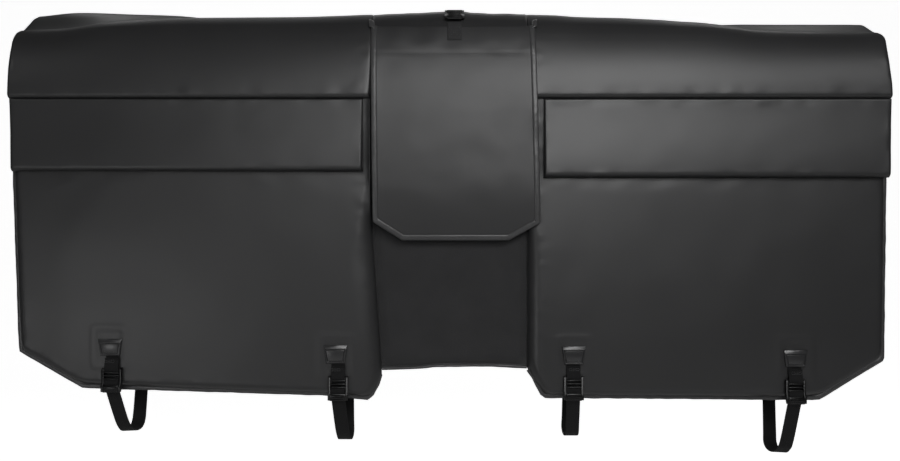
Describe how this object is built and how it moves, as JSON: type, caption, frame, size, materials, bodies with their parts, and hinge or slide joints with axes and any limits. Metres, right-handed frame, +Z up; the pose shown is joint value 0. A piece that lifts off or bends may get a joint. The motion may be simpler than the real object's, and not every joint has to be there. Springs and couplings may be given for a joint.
{
  "type": "tailgate bike pad",
  "caption": "Padded cover that hangs over a pickup's tailgate to carry bicycles, with raised bumpers, a centre access flap and webbing straps with ladder-lock buckles.",
  "frame": {"origin": "centre of the lining's inner face that rests on the tailgate's top edge", "axes": "+X along the tailgate to the right as seen from outside, +Y into the truck bed, +Z up"},
  "size_m": [1.55, 0.1576, 0.817],
  "materials": {
    "coated_fabric": "satin",
    "brushed_lining": "matt",
    "foam": "matt",
    "webbing": "matt",
    "moulded_plastic": "satin"
  },
  "bodies": {
    "root": {"access_flap": "coated_fabric", "bed_patch_1": "coated_fabric", "bed_patch_2": "coated_fabric", "bed_patch_3": "coated_fabric", "bed_patch_4": "coated_fabric", "bike_strap_1": "webbing", "bike_strap_2": "webbing", "bike_strap_3": "webbing", "bike_strap_4": "webbing", "bike_strap_5": "webbing", "bike_strap_6": "webbing", "centre_bed_foam": "foam", "centre_cover": "coated_fabric", "centre_hem_bed": "coated_fabric", "centre_hem_front": "coated_fabric", "centre_panel_foam": "foam", "centre_roll_foam": "foam", "centre_top_foam": "foam", "flap_welt": "coated_fabric", "ladder_lock_1": "moulded_plastic", "ladder_lock_2": "moulded_plastic", "ladder_lock_3": "moulded_plastic", "ladder_lock_4": "moulded_plastic", "left_bed_foam": "foam", "left_bumper_cover": "coated_fabric", "left_bumper_foam": "foam", "left_cover": "coated_fabric", "left_hem": "coated_fabric", "left_panel_foam": "foam", "left_roll_foam": "foam", "left_top_foam": "foam", "lining": "brushed_lining", "loop_strap_1": "webbing", "loop_strap_2": "webbing", "loop_strap_3": "webbing", "loop_strap_4": "webbing", "right_bed_foam": "foam", "right_bumper_cover": "coated_fabric", "right_bumper_foam": "foam", "right_cover": "coated_fabric", "right_hem": "coated_fabric", "right_panel_foam": "foam", "right_roll_foam": "foam", "right_top_foam": "foam", "strap_patch_1": "coated_fabric", "strap_patch_2": "coated_fabric", "strap_patch_3": "coated_fabric", "strap_patch_4": "coated_fabric", "strap_tab_1": "webbing", "strap_tab_2": "webbing", "strap_tab_3": "webbing", "strap_tab_4": "webbing", "tie_lock": "moulded_plastic", "tie_strap": "webbing", "tie_tab": "webbing"}
  },
  "joints": []
}
